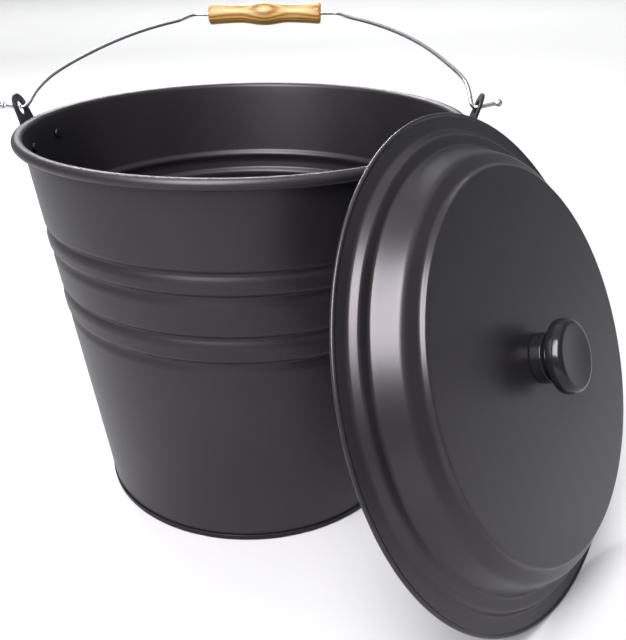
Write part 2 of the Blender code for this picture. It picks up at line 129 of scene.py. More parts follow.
# Lid: (radius, height over the flat ring) of its section, and its place
lid_radius = 0.1650
lid_corners = ((0.1532, 0.0), (0.1494, 0.0054), (0.1418, 0.0054), (0.1336, 0.0213), (0.1248, 0.0253),
               (0.1233, 0.0288))
lid_fillets = (0.0012, 0.0032, 0.0023, 0.0026, 0.0080, 0.0036, 0.0016)
lid_top = 0.0288
lid_hem_radius = 0.0013
lid_hem_rise = 0.0008
lid_hem_start = math.radians(-70)
lid_hem_end = math.radians(130)
screw_hole = 0.0023
lid_tilt = math.radians(22.8)
lid_azimuth = math.radians(-33.5)
lid_distance = 0.21393
lid_stand = 0.15240

# Knob
knob_foot_radius = 0.0160
knob_foot_height = 0.0082
knob_neck_radius = 0.0125
knob_neck_top = 0.0125
knob_head_radius = 0.0234
knob_head_bottom = 0.0136
knob_head_tuck = 0.0004
knob_head_widest = 0.0180
knob_face_inset = 0.0018
knob_foot_slant = 0.0006
knob_height = 0.0236
knob_dish = 0.0004
knob_dish_share = 0.60
knob_rounds = (0.0034, 0.0080, 0.0020, 0.0016, 0.0014, 0.0008, 0.0003, 0.0001, 0.0003)
pocket_radius = 0.0045
pocket_depth = 0.0119

# Screw and its cross recess
washer_sheet = 0.0010
screw_length = 0.0118
screw_head_radius = 0.0040
screw_head_height = 0.0024
screw_shank_radius = 0.0020
screw_dome_radius = 0.0034
screw_dome_rise = 0.0005
screw_edge_rise = 0.0010
screw_tip_length = 0.0010
screw_tip_radius = 0.0014
screw_rounds = (0.0004, 0.0002, 0.0001, 0.0002, 0.0002)
recess_top = 0.0006
recess_half = 0.00046
recess_slope = 0.00012
recess_reach = 0.0021
recess_end = 0.0004
recess_depth = 0.0012

# Fineness: steps round each turned piece, rows across and along the others, and greatest step of a section
shell_steps = 240
knob_steps = 144
small_steps = 96
rivet_steps = 40
wire_steps = 28
eye_steps = 40
wall_rows_below = 16
wall_rows_ribbed = 104
wall_rows_above = 8
curl_rows = 34
ear_rows = 44
ear_columns = 25
grip_rows = 220
dome_rows = 26
sweep_rows = 60
foot_step = 0.0040
ear_step = 0.0006
lid_step = 0.0035
knob_step = 0.0020

# Rows of the bail's sweep that the kink and the bend at the ear take over
kink_rows = 4
bend_rows = 2

# Curvature, per metre, from which a crest counts in full, and what an ear's rounded edge counts for
full_crest = 1200
ear_edge_crest = 0.4

# Wood's growth rings: where the tree's heart lies from the grip's axis, how closely they follow one another
# (angle per metre), and how far they sway
heart_across = 0.033
heart_below = 0.022
ring_rate = 2750.0
ring_sway = 5.0

# Camera, solved from the outlines in the photo
camera_position = (0.0866, -0.5867, 0.4072)
camera_back = (0.0839, -0.9223, 0.3771)
camera_turn = math.radians(5.2)
camera_roll = -0.0167
camera_lens = 45.25
camera_shift = (0.0338, -0.0819)


def unit(vector):
    """Vector divided by its length."""
    return vector / np.linalg.norm(vector, axis=-1, keepdims=True)


def arc(centre, radius, start, end, count):
    """Points at centre + radius (cos, sin) of an angle that runs evenly from start to end."""
    angle = np.linspace(start, end, count)
    return np.stack([centre[0] + radius * np.cos(angle), centre[1] + radius * np.sin(angle)], axis=1)


def filleted(corners, radii, count=12):
    """Path whose inner corners are swapped for arcs that touch both sides.

    An arc's centre = corner + bisector r / sin(half the angle between the sides).
    """
    corners = np.asarray(corners, dtype=float)
    stretches = [corners[:1]]
    for before, corner, after, radius in zip(corners[:-2], corners[1:-1], corners[2:], radii):
        back, ahead = unit(before - corner), unit(after - corner)
        half = math.acos(float(np.clip(back @ ahead, -1, 1))) / 2
        centre = corner + unit(back + ahead) * radius / math.sin(half)
        start, end = (corner + side * radius / math.tan(half) - centre for side in (back, ahead))
        first = math.atan2(start[1], start[0])
        turn = (math.atan2(end[1], end[0]) - first + math.pi) % math.tau - math.pi
        stretches.append(arc(centre, radius, first, first + turn, count))
    return np.vstack(stretches + [corners[-1:]])


def refined(path, step):
    """Path with even extra points wherever a stretch is longer than step."""
    length = np.linalg.norm(np.diff(path, axis=0), axis=1)
    travel = np.concatenate([[0.0], np.cumsum(length)])
    extra = [np.linspace(a, b, max(1, math.ceil((b - a) / step)), endpoint=False)
             for a, b in zip(travel[:-1], travel[1:]) if b - a > 1e-9]
    stations = np.concatenate(extra + [travel[-1:]])
    return np.stack([np.interp(stations, travel, column) for column in path.T], axis=1)


def left_normals(path):
    """Unit normals on the left of a path, from its central differences."""
    along = unit(np.gradient(path, axis=0))
    return np.stack([-along[:, 1], along[:, 0]], axis=1)


def end_cap(end, normal, outward, radius, count=5):
    """Half circle over a sheet's end: end + radius (normal cos a + outward sin a), its two ends left out."""
    turn = np.linspace(0, math.pi, count + 2)[1:-1, None]
    return end + radius * (normal * np.cos(turn) + outward * np.sin(turn))


def sheet_section(middle, thickness):
    """Closed section of a sheet: its middle moved half the thickness to each side, with round ends."""
    normal = left_normals(middle)
    start, finish = unit(middle[0] - middle[1]), unit(middle[-1] - middle[-2])
    half = thickness / 2
    return np.vstack([middle + normal * half, end_cap(middle[-1], normal[-1], finish, half),
                      (middle - normal * half)[::-1], end_cap(middle[0], -normal[0], start, half)])


def turned(profile, steps):
    """Profile (r, h) turned about Z: points (r cos a, r sin a, h) for angles a round the circle."""
    angle = np.linspace(0, math.tau, steps, endpoint=False)
    radius, height = profile[:, :1], profile[:, 1:]
    return np.stack([radius * np.cos(angle), radius * np.sin(angle), height + 0 * angle], axis=-1)


def placed(grid, place):
    """Points turned and moved by a 4 x 4 matrix."""
    return grid @ place[:3, :3].T + place[:3, 3]


def rotation(axis, angle):
    """4 x 4 rotation about X, Y or Z."""
    cosine, sine = math.cos(angle), math.sin(angle)
    first, second = {"X": (1, 2), "Y": (2, 0), "Z": (0, 1)}[axis]
    matrix = np.eye(4)
    matrix[first, first] = matrix[second, second] = cosine
    matrix[first, second], matrix[second, first] = -sine, sine
    return matrix


def shift(x, y, z):
    """4 x 4 move."""
    matrix = np.eye(4)
    matrix[:3, 3] = (x, y, z)
    return matrix


def crest_of(profile, closed):
    """How sharply each point of a section bulges outwards: its curvature as a share of full_crest, 0 to 1.

    Curvature at a point = 2 (back x ahead) / product of the three sides of the triangle with its neighbours.
    """
    before = np.roll(profile, 1, axis=0) if closed else np.vstack([profile[:1], profile[:-1]])
    after = np.roll(profile, -1, axis=0) if closed else np.vstack([profile[1:], profile[-1:]])
    back, ahead = profile - before, after - profile
    cross = back[:, 0] * ahead[:, 1] - back[:, 1] * ahead[:, 0]
    lengths = [np.linalg.norm(side, axis=1) for side in (back, ahead, after - before)]
    product = np.maximum(lengths[0] * lengths[1] * lengths[2], 1e-12)
    area = np.sum(profile[:, 0] * np.roll(profile[:, 1], -1) - profile[:, 1] * np.roll(profile[:, 0], -1))
    return np.clip(2 * cross / product * np.sign(area) / full_crest, 0, 1)


def mesh_piece(name, points, faces, body, finish, replaced=(), crest=None, sharp=None):
    """Object of points and faces that rides on a body; its faces turn outwards by their signed volume."""
    mesh = bpy.data.meshes.new(name)
    mesh.from_pydata(points.tolist(), [], faces)
    made = bpy.data.objects.new(name, mesh)
    bpy.context.scene.collection.objects.link(made)
    if crest is not None:
        mesh.attributes.new("crest", "FLOAT", "POINT").data.foreach_set("value", crest.astype(np.float32))
    shape = bmesh.new()
    shape.from_mesh(mesh)
    if shape.calc_volume(signed=True) < 0:
        bmesh.ops.reverse_faces(shape, faces=shape.faces)
    shape.to_mesh(mesh)
    shape.free()
    mesh.materials.append(finish)
    mesh.shade_smooth()
    if sharp:
        mesh.set_sharp_from_angle(angle=math.radians(sharp))
    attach(made, body)
    if replaced:
        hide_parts(*replaced)
    return made


def grid_piece(name, grid, body, finish, replaced=(), loop=True, poles=False, crest=None, sharp=None):
    """Piece from a grid of rows x columns of points.

    The columns close round, the rows close with loop, and with poles each end row shrinks to one point.
    """
    rows, columns = grid.shape[:2]
    index = np.arange(rows * columns).reshape(rows, columns)
    if poles:
        index[0] = index[0, 0]
        index[-1] = index[-1, 0]
    if loop:
        index = np.vstack([index, index[:1]])
    index = np.hstack([index, index[:, :1]])
    corners = np.stack([index[:-1, :-1], index[1:, :-1], index[1:, 1:], index[:-1, 1:]], axis=-1)
    fans = np.empty((0, 3), dtype=int)
    if poles:
        fans = np.vstack([corners[0][:, [0, 1, 2]], corners[-1][:, [0, 1, 3]]])
        corners = corners[1:-1]
    used, renumbered = np.unique(np.concatenate([corners.ravel(), fans.ravel()]), return_inverse=True)
    quads, threes = renumbered[:corners.size], renumbered[corners.size:]
    faces = quads.reshape(-1, 4).tolist() + threes.reshape(-1, 3).tolist()
    crests = None if crest is None else np.repeat(crest, columns)[used]
    return mesh_piece(name, grid.reshape(-1, 3)[used], faces, body, finish, replaced, crests, sharp)


class Value:
    """A shader socket: sums on it add Math nodes, and node() adds any other node."""

    def __init__(self, socket):
        self.socket = socket

    def node(self, kind, sockets=None, out=0, stops=None, **settings):
        """Add a node with its settings, ramp stops and sockets' values or links; returns one output."""
        tree = self.socket.id_data
        made = tree.nodes.new(kind)
        for key, setting in settings.items():
            setattr(made, key, setting)
        for index, (position, colour) in enumerate(stops or ()):
            stop = made.color_ramp.elements[index] if index < 2 else made.color_ramp.elements.new(position)
            stop.position = position
            stop.color = (*colour, 1.0)
        for key, given in (sockets or {}).items():
            if isinstance(given, Value):
                tree.links.new(given.socket, made.inputs[key])
            else:
                made.inputs[key].default_value = given
        return Value(made.outputs[out])

    def maths(self, operation, first, second):
        """Add a Math node of two values or numbers."""
        return self.node("ShaderNodeMath", {0: first, 1: second}, operation=operation)

    def __add__(self, other):
        return self.maths("ADD", self, other)

    __radd__ = __add__

    def __sub__(self, other):
        return self.maths("SUBTRACT", self, other)

    def __rsub__(self, other):
        return self.maths("SUBTRACT", other, self)

    def __mul__(self, other):
        return self.maths("MULTIPLY", self, other)

    __rmul__ = __mul__

    def __pow__(self, other):
        return self.maths("POWER", self, other)

    def noise(self, scale, detail=2.0, rough=0.5, warp=0.0):
        """Noise at a scale, 0 to 1, read at these coordinates."""
        return self.node("ShaderNodeTexNoise", {"Vector": self, "Scale": scale, "Detail": detail,
                                                "Roughness": rough, "Distortion": warp})

    def stretched(self, scale, centre=(0, 0, 0)):
        """Coordinates about a centre, multiplied along each axis."""
        moved = self.node("ShaderNodeVectorMath", {0: self, 1: centre}, operation="SUBTRACT")
        return moved.node("ShaderNodeVectorMath", {0: moved, 1: scale}, operation="MULTIPLY")

    def band(self, low, high):
        """0 below low, 1 above high, smooth between."""
        return self.node("ShaderNodeMapRange", {"Value": self, "From Min": low, "From Max": high},
                         interpolation_type="SMOOTHSTEP")

    def blend(self, first, second):
        """Colour that goes from first to second as this value goes from 0 to 1."""
        colours = [given if isinstance(given, Value) else (*given, 1.0) for given in (first, second)]
        return self.node("ShaderNodeMix", {0: self, 6: colours[0], 7: colours[1]}, out=2, data_type="RGBA")


def new_finish(name, **constants):
    """New material: returns it, its Object coordinates and its Principled shader's inputs, constants set."""
    made = bpy.data.materials.new(name)
    made.use_nodes = True
    shader = made.node_tree.nodes["Principled BSDF"]
    for key, value in constants.items():
        shader.inputs[key.replace("_", " ")].default_value = value
    place = Value(made.node_tree.nodes.new("ShaderNodeTexCoord").outputs["Object"])
    return made, place, shader.inputs


def wire_up(inputs, **values):
    """Link values to the shader's varying sockets."""
    for key, value in values.items():
        socket = inputs[key.replace("_", " ")]
        socket.id_data.links.new(value.socket, socket)


def bumped(height, strength, distance):
    """Bump normal from a height between 0 and 1."""
    return height.node("ShaderNodeBump", {"Height": height, "Strength": strength, "Distance": distance})


def powder_coat(name, tone, rough, level=0.5):
    """Satin powder coat: orange peel, faint clouds in tone and sheen, and paler crests of wear and painted
    highlight.
    """
    tint = (1.0, 0.94, 1.0, 1.0)
    made, place, inputs = new_finish(name, IOR=1.48, Specular_Tint=tint, Specular_IOR_Level=level)
    cloud = place.noise(14.0, 3.0)
    peel = place.noise(1300.0, 2.0)
    grain = place.noise(5200.0, 1.0)
    wave = place.noise(30.0, 1.0)
    crest = place.node("ShaderNodeAttribute", attribute_name="crest", out="Fac")
    # Paler crests: partly paint rubbed off the edges, partly a painted highlight along them, in the pale grey
    # below
    rub_and_painted_highlight = crest * place.noise(160.0, 4.0).band(0.35, 0.75)
    dark = tuple(channel * 0.86 for channel in tone)
    pale = tuple(channel * 1.18 for channel in tone)
    base = cloud.band(0.3, 0.7).blend(dark, pale)
    wire_up(inputs, Base_Color=(rub_and_painted_highlight * 0.30).blend(base, (0.030, 0.029, 0.030)),
            Roughness=rough + (cloud - 0.5) * 0.07 + (grain - 0.5) * 0.06 - rub_and_painted_highlight * 0.05,
            Normal=bumped(peel * 0.5 + grain * 0.12 + wave * 0.5, 0.30, 0.00006))
    return made


def bright_wire(name):
    """Bright plated steel wire: drawn lines, faint dull patches."""
    made, place, inputs = new_finish(name, Metallic=1.0)
    streak = place.stretched((60.0, 900.0, 900.0)).noise(1.0, 3.0)
    patch = place.noise(140.0, 3.0)
    wire_up(inputs, Base_Color=patch.band(0.3, 0.75).blend((0.42, 0.42, 0.43), (0.33, 0.33, 0.34)),
            Roughness=0.19 + patch.band(0.4, 0.8) * 0.08 + streak * 0.05,
            Normal=bumped(streak, 0.06, 0.00001))
    return made


def zinc_plate(name):
    """Zinc plating: spangled grey with a turned bump."""
    made, place, inputs = new_finish(name, Metallic=1.0)
    spangle = place.node("ShaderNodeTexVoronoi", {"Vector": place, "Scale": 700.0}, out="Distance")
    patch = place.noise(220.0, 3.0)
    wire_up(inputs, Base_Color=spangle.blend((0.52, 0.53, 0.55), (0.66, 0.67, 0.69)),
            Roughness=0.28 + patch * 0.18, Normal=bumped(patch, 0.2, 0.00005))
    return made


def turned_brass(name):
    """Turned brass with fine tool lines."""
    made, place, inputs = new_finish(name, Metallic=1.0)
    line = place.stretched((2600.0, 2600.0, 300.0)).noise(1.0, 2.0)
    wire_up(inputs, Base_Color=line.blend((0.66, 0.47, 0.20), (0.80, 0.61, 0.30)),
            Roughness=0.24 + line * 0.2, Normal=bumped(line, 0.2, 0.00004))
    return made


def varnished_wood(name, centre):
    """Honey wood: growth rings about an axis beside the grip, fibre streaks along it and dark pore specks."""
    made, place, inputs = new_finish(name, Coat_Roughness=0.26, Coat_IOR=1.5, Coat_Weight=0.12,
                                     Specular_IOR_Level=0.25)
    local = place.stretched((1.0, 1.0, 1.0), centre)
    sway = local.stretched((14.0, 60.0, 60.0)).noise(1.0, 2.0)
    fibre = local.stretched((55.0, 1500.0, 1500.0)).noise(1.0, 5.0, 0.6)
    pore = local.stretched((130.0, 3200.0, 3200.0)).noise(1.0, 2.0)
    across = local.node("ShaderNodeSeparateXYZ", {"Vector": local}, out="Y")
    up = local.node("ShaderNodeSeparateXYZ", {"Vector": local}, out="Z")
    reach = ((across - heart_across) ** 2.0 + (up + heart_below) ** 2.0) ** 0.5
    phase = reach * ring_rate + sway * ring_sway
    ring = phase.node("ShaderNodeMath", {0: phase}, operation="SINE") * 0.5 + 0.5
    shade = ring * 0.34 + fibre * 0.66
    stops = ((0.34, (0.145, 0.068, 0.015)), (0.66, (0.34, 0.208, 0.061)), (0.50, (0.264, 0.148, 0.037)))
    colour = shade.node("ShaderNodeValToRGB", {"Fac": shade}, stops=stops)
    speck = pore.band(0.62, 0.72) * 0.35
    wire_up(inputs, Base_Color=speck.blend(colour, (0.25, 0.11, 0.035)), Roughness=0.36 + fibre * 0.12,
            Normal=bumped(fibre * 0.6 + ring * 0.2, 0.18, 0.00008))
    return made


def gloss_resin(name):
    """Black moulded resin: deep gloss with faint flow marks and dust specks."""
    made, place, inputs = new_finish(name, IOR=1.46, Specular_IOR_Level=0.28)
    flow = place.noise(70.0, 3.0, 0.5, 1.2)
    dust = place.noise(2600.0, 1.0).band(0.70, 0.76)
    wire_up(inputs, Base_Color=(dust * 0.25).blend((0.006, 0.006, 0.007), (0.08, 0.08, 0.08)),
            Roughness=0.12 + flow * 0.08 + dust * 0.15, Normal=bumped(flow, 0.08, 0.0002))
    return made


def pale_floor(name):
    """Plain pale studio floor."""
    made, place, inputs = new_finish(name)
    tone = place.noise(3.0, 2.0)
    wire_up(inputs, Base_Color=tone.blend((0.35, 0.35, 0.35), (0.37, 0.37, 0.37)), Roughness=0.7 + tone * 0.1)
    return made


wall_coat = powder_coat("wall_coat", tone=(0.0068, 0.0062, 0.0069), rough=0.43, level=0.37)
lid_coat = powder_coat("lid_coat", tone=(0.0082, 0.0076, 0.0084), rough=0.33, level=0.37)
ear_coat = powder_coat("ear_coat", tone=(0.0050, 0.0048, 0.0051), rough=0.42, level=0.22)
foot_coat = powder_coat("foot_coat", tone=(0.0040, 0.0038, 0.0041), rough=0.48, level=0.20)
wire_metal = bright_wire("wire_metal")
zinc = zinc_plate("zinc")
brass = turned_brass("brass")
knob_resin = gloss_resin("knob_resin")

# Places of the lid and of the bail
lid_place = (shift(lid_distance * math.cos(lid_azimuth), lid_distance * math.sin(lid_azimuth), lid_stand)
             @ rotation("Z", lid_azimuth) @ rotation("Y", math.pi / 2 - lid_tilt))
bail_place = shift(0, bail_seat, eye_height) @ rotation("X", -bail_lean)
grip_centre = placed(np.array([[0, 0, grip_height]]), bail_place)[0]
wood = varnished_wood("wood", tuple(grip_centre))


def wall_slope():
    """Wall's angle from the vertical, tangent to the inner side of the curl."""
    across = bead_centre[0] - (base_radius - sheet / 2)
    return math.atan2(across, bead_centre[1]) - math.asin(curl_radius / math.hypot(across, bead_centre[1]))


slope = wall_slope()


def wall_middle(height):
    """Radius of the plain cone's middle: foot radius + height tan(slope)."""
    return base_radius - sheet / 2 + height * math.tan(slope)


def wall_outside(height):
    """Radius of the plain cone's outer face."""
    return wall_middle(height) + sheet / 2 / math.cos(slope)


def rib_offset(height):
    """Bands stand out by a swell between their grooves; a groove is a cos squared trough, longer below."""
    offset = np.zeros_like(height)
    for lower, upper in bands:
        middle, half = (lower + upper) / 2, (upper - lower) / 2
        share = np.clip((half - np.abs(height - middle)) / swell_run, 0, 1)
        offset += band_swell * share * share * (3 - 2 * share)
        for centre in (lower, upper):
            reach = np.maximum((height - centre) / groove_above, (centre - height) / groove_below)
            offset -= (groove_depth + band_swell / 2) * np.cos(math.pi / 2 * np.clip(reach, 0, 1)) ** 2
    return offset


def wall_section():
    """Middle of the wall's sheet: ribbed cone, then the curl turned in over the rim wire."""
    bottom = sheet + gap
    top = bead_centre[1] + curl_radius * math.sin(math.pi - slope)
    ribbed = np.linspace(bands[0][0] - rib_margin, bands[1][1] + rib_margin, wall_rows_ribbed)
    lower = np.linspace(bottom, ribbed[0], wall_rows_below, endpoint=False)
    upper = np.linspace(ribbed[-1], top, wall_rows_above)[1:-1]
    height = np.concatenate([lower, ribbed, upper])
    cone = np.stack([wall_middle(height) + rib_offset(height), height], axis=1)
    return np.vstack([cone, arc(bead_centre, curl_radius, math.pi - slope, bead_end, curl_rows)])


def make_wall():
    """Wall and curled rim, one turned sheet."""
    section = sheet_section(wall_section(), sheet)
    grid_piece("wall", turned(section, shell_steps), "bucket", wall_coat, ["bucket_wall"],
               crest=crest_of(section, True))


def make_foot():
    """Bottom pan: flat, then turned up round the wall's foot; one turned section, closed at its two poles."""
    inside = wall_outside(0.0) + gap
    corner = (inside + sheet / 2, sheet / 2)
    tip = (corner[0] + (foot_height - corner[1]) * math.tan(slope), foot_height)
    middle = refined(filleted([(0.0, sheet / 2), corner, tip], [foot_bend]), foot_step)
    normal = left_normals(middle)
    upper, lower = middle + normal * sheet / 2, middle - normal * sheet / 2
    cap = end_cap(middle[-1], -normal[-1], unit(middle[-1] - middle[-2]), sheet / 2)
    section = np.vstack([lower, cap, upper[::-1]])
    section[0, 0] = section[-1, 0] = 0.0
    grid_piece("foot_pan", turned(section, shell_steps), "bucket", foot_coat, ["base_panel"],
               loop=False, poles=True, crest=crest_of(section, False))


def ear_section():
    """Middle of the ear's plate as (radius, height): up the wall, out over the curl, then leaning out."""
    half = ear_sheet / 2
    first = (wall_outside(ear_foot_bottom) + gap + half, ear_foot_bottom)
    second = (wall_outside(ear_foot_top) + gap + half, ear_foot_top)
    stand_off = bead_radius + gap + half
    run, rise = bead_centre[0] - second[0], bead_centre[1] - ear_foot_top
    climb = math.atan2(rise, run) - math.asin(stand_off / math.hypot(run, rise))
    outer = bead_centre[0] + stand_off
    lean_from = bead_centre[1] + ear_lean_start
    tip = eye_height + ear_head_radius + ear_head_spare
    return [first, second, (outer, ear_foot_top + (outer - second[0]) * math.tan(climb)), (outer, lean_from),
            (outer + (tip - lean_from) * math.tan(ear_lean), tip)]


def ear_outline():
    """Front view of an ear as (across, height): round head, hollow neck and wide foot, from its own arcs."""
    drop = eye_height - ear_neck_height
    touch = math.acos(ear_head_radius / math.hypot(ear_neck_half, drop)) - math.atan2(drop, ear_neck_half)
    side = filleted([(0.0, ear_foot_bottom), (ear_foot_half, ear_foot_bottom),
                     (ear_foot_half, ear_foot_top - ear_corner / 2), (ear_neck_half, ear_neck_height),
                     (ear_head_radius * math.cos(touch), eye_height + ear_head_radius * math.sin(touch))],
                    [ear_corner, *ear_neck_rounds], count=7)
    head = arc((0.0, eye_height), ear_head_radius, touch, math.pi / 2, count=16)
    right = np.vstack([side[:-1], head])
    return np.vstack([right, (right * (-1, 1))[::-1][1:-1]])


def make_ear(side, turn):
    """Pressed ear: its front view drilled and rounded at the edges, then laid on its section.

    A point (across, height, depth) goes to radius = section(height) + depth along the section's normal, and
    across the circle of that radius.
    """
    half = ear_sheet / 2
    curve = bpy.data.curves.new("ear", "CURVE")
    curve.dimensions = "2D"
    curve.fill_mode = "BOTH"
    curve.extrude = half - ear_edge
    curve.bevel_depth = ear_edge
    curve.bevel_resolution = 2
    curve.offset = -ear_edge
    eye = arc((0.0, eye_height), eye_radius, math.tau, 0.0, eye_steps + 1)[:-1]
    for outline in (ear_outline(), eye):
        line = curve.splines.new("POLY")
        line.points.add(len(outline) - 1)
        line.points.foreach_set("co", np.hstack([outline, np.zeros_like(outline)]).ravel())
        line.use_cyclic_u = True
    source = bpy.data.objects.new("ear", curve)
    bpy.context.scene.collection.objects.link(source)
    bpy.context.view_layer.update()
    flat = bpy.data.meshes.new_from_object(source.evaluated_get(bpy.context.evaluated_depsgraph_get()))
    shape = bmesh.new()
    shape.from_mesh(flat)
    bmesh.ops.remove_doubles(shape, verts=shape.verts, dist=1e-6)
    levels = np.linspace(ear_foot_bottom, eye_height + ear_head_radius, ear_rows)[1:-1]
    columns = np.linspace(-ear_foot_half, ear_foot_half, ear_columns)[1:-1]
    cuts = [((0, level, 0), (0, 1, 0)) for level in levels]
    cuts += [((column, 0, 0), (1, 0, 0)) for column in columns]
    for spot, facing in cuts:
        everything = shape.verts[:] + shape.edges[:] + shape.faces[:]
        bmesh.ops.bisect_plane(shape, geom=everything, dist=1e-7, plane_co=spot, plane_no=facing)
    bmesh.ops.recalc_face_normals(shape, faces=shape.faces)
    shape.to_mesh(flat)
    shape.free()
    bpy.data.objects.remove(source, do_unlink=True)
    points = np.empty(len(flat.vertices) * 3)
    flat.vertices.foreach_get("co", points)
    across, height, depth = points.reshape(-1, 3).T
    section = refined(filleted(ear_section(), ear_bends), ear_step)
    normal = -left_normals(section)
    middle, climb = section.T
    radius = np.interp(height, climb, middle) + depth * np.interp(height, climb, normal[:, 0])
    level = height + depth * np.interp(height, climb, normal[:, 1])
    bent = np.stack([np.sqrt(radius ** 2 - across ** 2), across, level], axis=1)
    faces = [tuple(face.vertices) for face in flat.polygons]
    crest = np.clip((np.abs(depth) - half + ear_edge) / ear_edge, 0, 1) * ear_edge_crest
    mesh_piece(f"ear_{side}_plate", placed(bent, rotation("Z", turn)), faces, "bucket", ear_coat,
               [f"ear_{side}"], crest, sharp=40)


def make_rivet(side, end, azimuth):
    """Rivet: domed head, shank and set tail, turned about the wall's normal."""
    head = gap + ear_sheet + gap
    tail = -(sheet + gap)
    dome = arc((0.0, 0.0), rivet_head_radius, math.pi / 2, 0.0, count=12)
    dome = np.stack([dome[:, 0], head + dome[:, 1] * rivet_head_height / rivet_head_radius], axis=1)
    back = [(rivet_shank, head - 0.00005), (rivet_shank, tail), (rivet_tail_radius, tail),
            (rivet_tail_radius * rivet_tail_share, tail - rivet_tail_height), (0.0, tail - rivet_tail_height)]
    section = np.vstack([dome, filleted([dome[-1]] + back, rivet_rounds, count=4)[1:]])
    section[0, 0] = section[-1, 0] = 0.0
    height = (ear_foot_bottom + ear_foot_top) / 2
    reach = wall_outside(height) * math.cos(math.pi / cad_wall_steps)
    level = rotation("Z", azimuth) @ shift(reach, 0, height)
    grid = placed(turned(section, rivet_steps), level @ rotation("Y", math.pi / 2 + slope))
    grid_piece(f"rivet_{side}_{end}", grid, "bucket", ear_coat, [f"ear_rivet_{side}_{end}"],
               loop=False, poles=True, crest=crest_of(section, False))


def bail_line(side):
    """Centre line from the grip's middle to the ball's centre, as (across, up).

    Straight through the grip, a kink, a circle with a bell-shaped bulge by the ear, the bend through the eye
    and the straight tail.
    """
    radius, bulge, width, tail = bail_sides[side]
    start, finish = math.acos((kink_span + kink_run) / radius), math.asin(bail_bend / bail_leg_radius)
    angle = np.linspace(start, finish, sweep_rows)
    reach = radius + bulge * np.exp(-((angle - bulge_angle) / width) ** 2)
    sweep = np.stack([reach * np.cos(angle), reach * np.sin(angle)], axis=1)
    kinks = filleted([(0.0, grip_height), (kink_span, grip_height), tuple(sweep[0]), tuple(sweep[kink_rows])],
                     [kink_radius, kink_radius], count=10)
    bend = arc((bail_leg_radius + bail_bend, bail_bend), bail_bend, math.pi, 1.5 * math.pi + tail, count=20)
    end = bend[-1] + tail_length * np.array([math.cos(tail), math.sin(tail)])
    return np.vstack([kinks[:-1], sweep[kink_rows:-bend_rows], bend, end])


def smoothed(path, step, spread):
    """Path at even steps, averaged with a bell-shaped weight.

    Its ends stay in place because it is mirrored past them.
    """
    even = refined(path, step)
    travel = np.concatenate([[0.0], np.cumsum(np.linalg.norm(np.diff(even, axis=0), axis=1))])
    station = np.linspace(0, travel[-1], round(travel[-1] / step))
    even = np.stack([np.interp(station, travel, column) for column in even.T], axis=1)
    reach = math.ceil(3 * spread / step)
    weight = np.exp(-(np.arange(-reach, reach + 1) * step / spread) ** 2 / 2)
    weight /= weight.sum()
    padded = np.vstack([2 * even[0] - even[reach:0:-1], even, 2 * even[-1] - even[-2:-reach - 2:-1]])
    return np.stack([np.convolve(column, weight, mode="valid") for column in padded.T], axis=1)


def make_bail():
    """Wire with a ball at each end: rings of radius r(s) square to the centre line.

    r is the wire's radius along the line, and the ball's sqrt(R squared - distance squared) at each end.
    """
    whole = np.vstack([(bail_line("left") * (-1, 1))[::-1][:-1], bail_line("right")])
    line = smoothed(whole, line_step, line_spread)
    travel = np.concatenate([[0.0], np.cumsum(np.linalg.norm(np.diff(line, axis=0), axis=1))])
    turn = np.linspace(math.pi, math.asin(wire_radius / ball_radius), 16)
    ball_travel, ball_width = ball_radius * np.cos(turn), ball_radius * np.sin(turn)
    inner = np.arange(ball_travel[-1] + ring_step, travel[-1] - ball_travel[-1] - ring_step, ring_step)
    station = np.concatenate([ball_travel, inner, travel[-1] - ball_travel[::-1]])
    width = np.concatenate([ball_width, np.full(len(inner), wire_radius), ball_width[::-1]])
    reach = 2 * ball_radius
    ends = [line[0] + unit(line[0] - line[3]) * reach, line[-1] + unit(line[-1] - line[-4]) * reach]
    longer = np.vstack([ends[0], line, ends[1]])
    marks = np.concatenate([[-reach], travel, [travel[-1] + reach]])
    centre = np.stack([np.interp(station, marks, column) for column in longer.T], axis=1)
    normal = left_normals(longer)
    normal = unit(np.stack([np.interp(station, marks, column) for column in normal.T], axis=1))
    angle = np.linspace(0, math.tau, wire_steps, endpoint=False)
    out = np.cos(angle)[None, :, None] * normal[:, None, :]
    side = np.sin(angle)[None, :] * np.ones((len(station), 1))
    spot = centre[:, None, :] + width[:, None, None] * out
    grid = np.stack([spot[..., 0], width[:, None] * side, spot[..., 1]], axis=-1)
    grid_piece("bail", placed(grid, bail_place), "bail", wire_metal, ["bail_wire"],
               loop=False, poles=True)


def grip_radius(along):
    """Turned shape: a cosine swell in the middle, a waist each side, flared ends, and faint tool ripples."""
    distance = np.abs(along)
    swell = grip_waist_radius + (grip_middle_radius - grip_waist_radius) * (
        0.5 + 0.5 * np.cos(math.pi * np.clip(distance / grip_swell_half, 0, 1)))
    outward = (distance - grip_swell_half) / (grip_length / 2 - grip_swell_half)
    flare = np.clip(outward, 0, 1) ** grip_flare_power
    ripple = ripple_height * np.sin(along * ripple_rate) * np.sin(along * ripple_fade_rate)
    return swell + (grip_end_radius - grip_waist_radius) * flare + ripple


def make_grip():
    """Grip: its section turned about the wire, with rounded ends and a countersunk bore."""
    half = grip_length / 2
    bore = wire_radius + gap
    along = np.linspace(half - grip_round, grip_round - half, grip_rows)
    radius = grip_radius(along)
    quarter = np.linspace(0, math.pi / 2, 10)[:-1]
    end = np.stack([radius[0] - grip_round + grip_round * np.sin(quarter),
                    half - grip_round + grip_round * np.cos(quarter)], axis=1)
    sink = np.array([(bore + wider, half - below) for wider, below in grip_sink])
    top = np.vstack([sink, end])
    section = np.vstack([top, np.stack([radius, along], axis=1), (top * (1, -1))[::-1]])
    place = bail_place @ shift(0, 0, grip_height) @ rotation("Y", math.pi / 2)
    grid_piece("grip", placed(turned(section, small_steps), place), "grip", wood,
               ["bail_grip"])


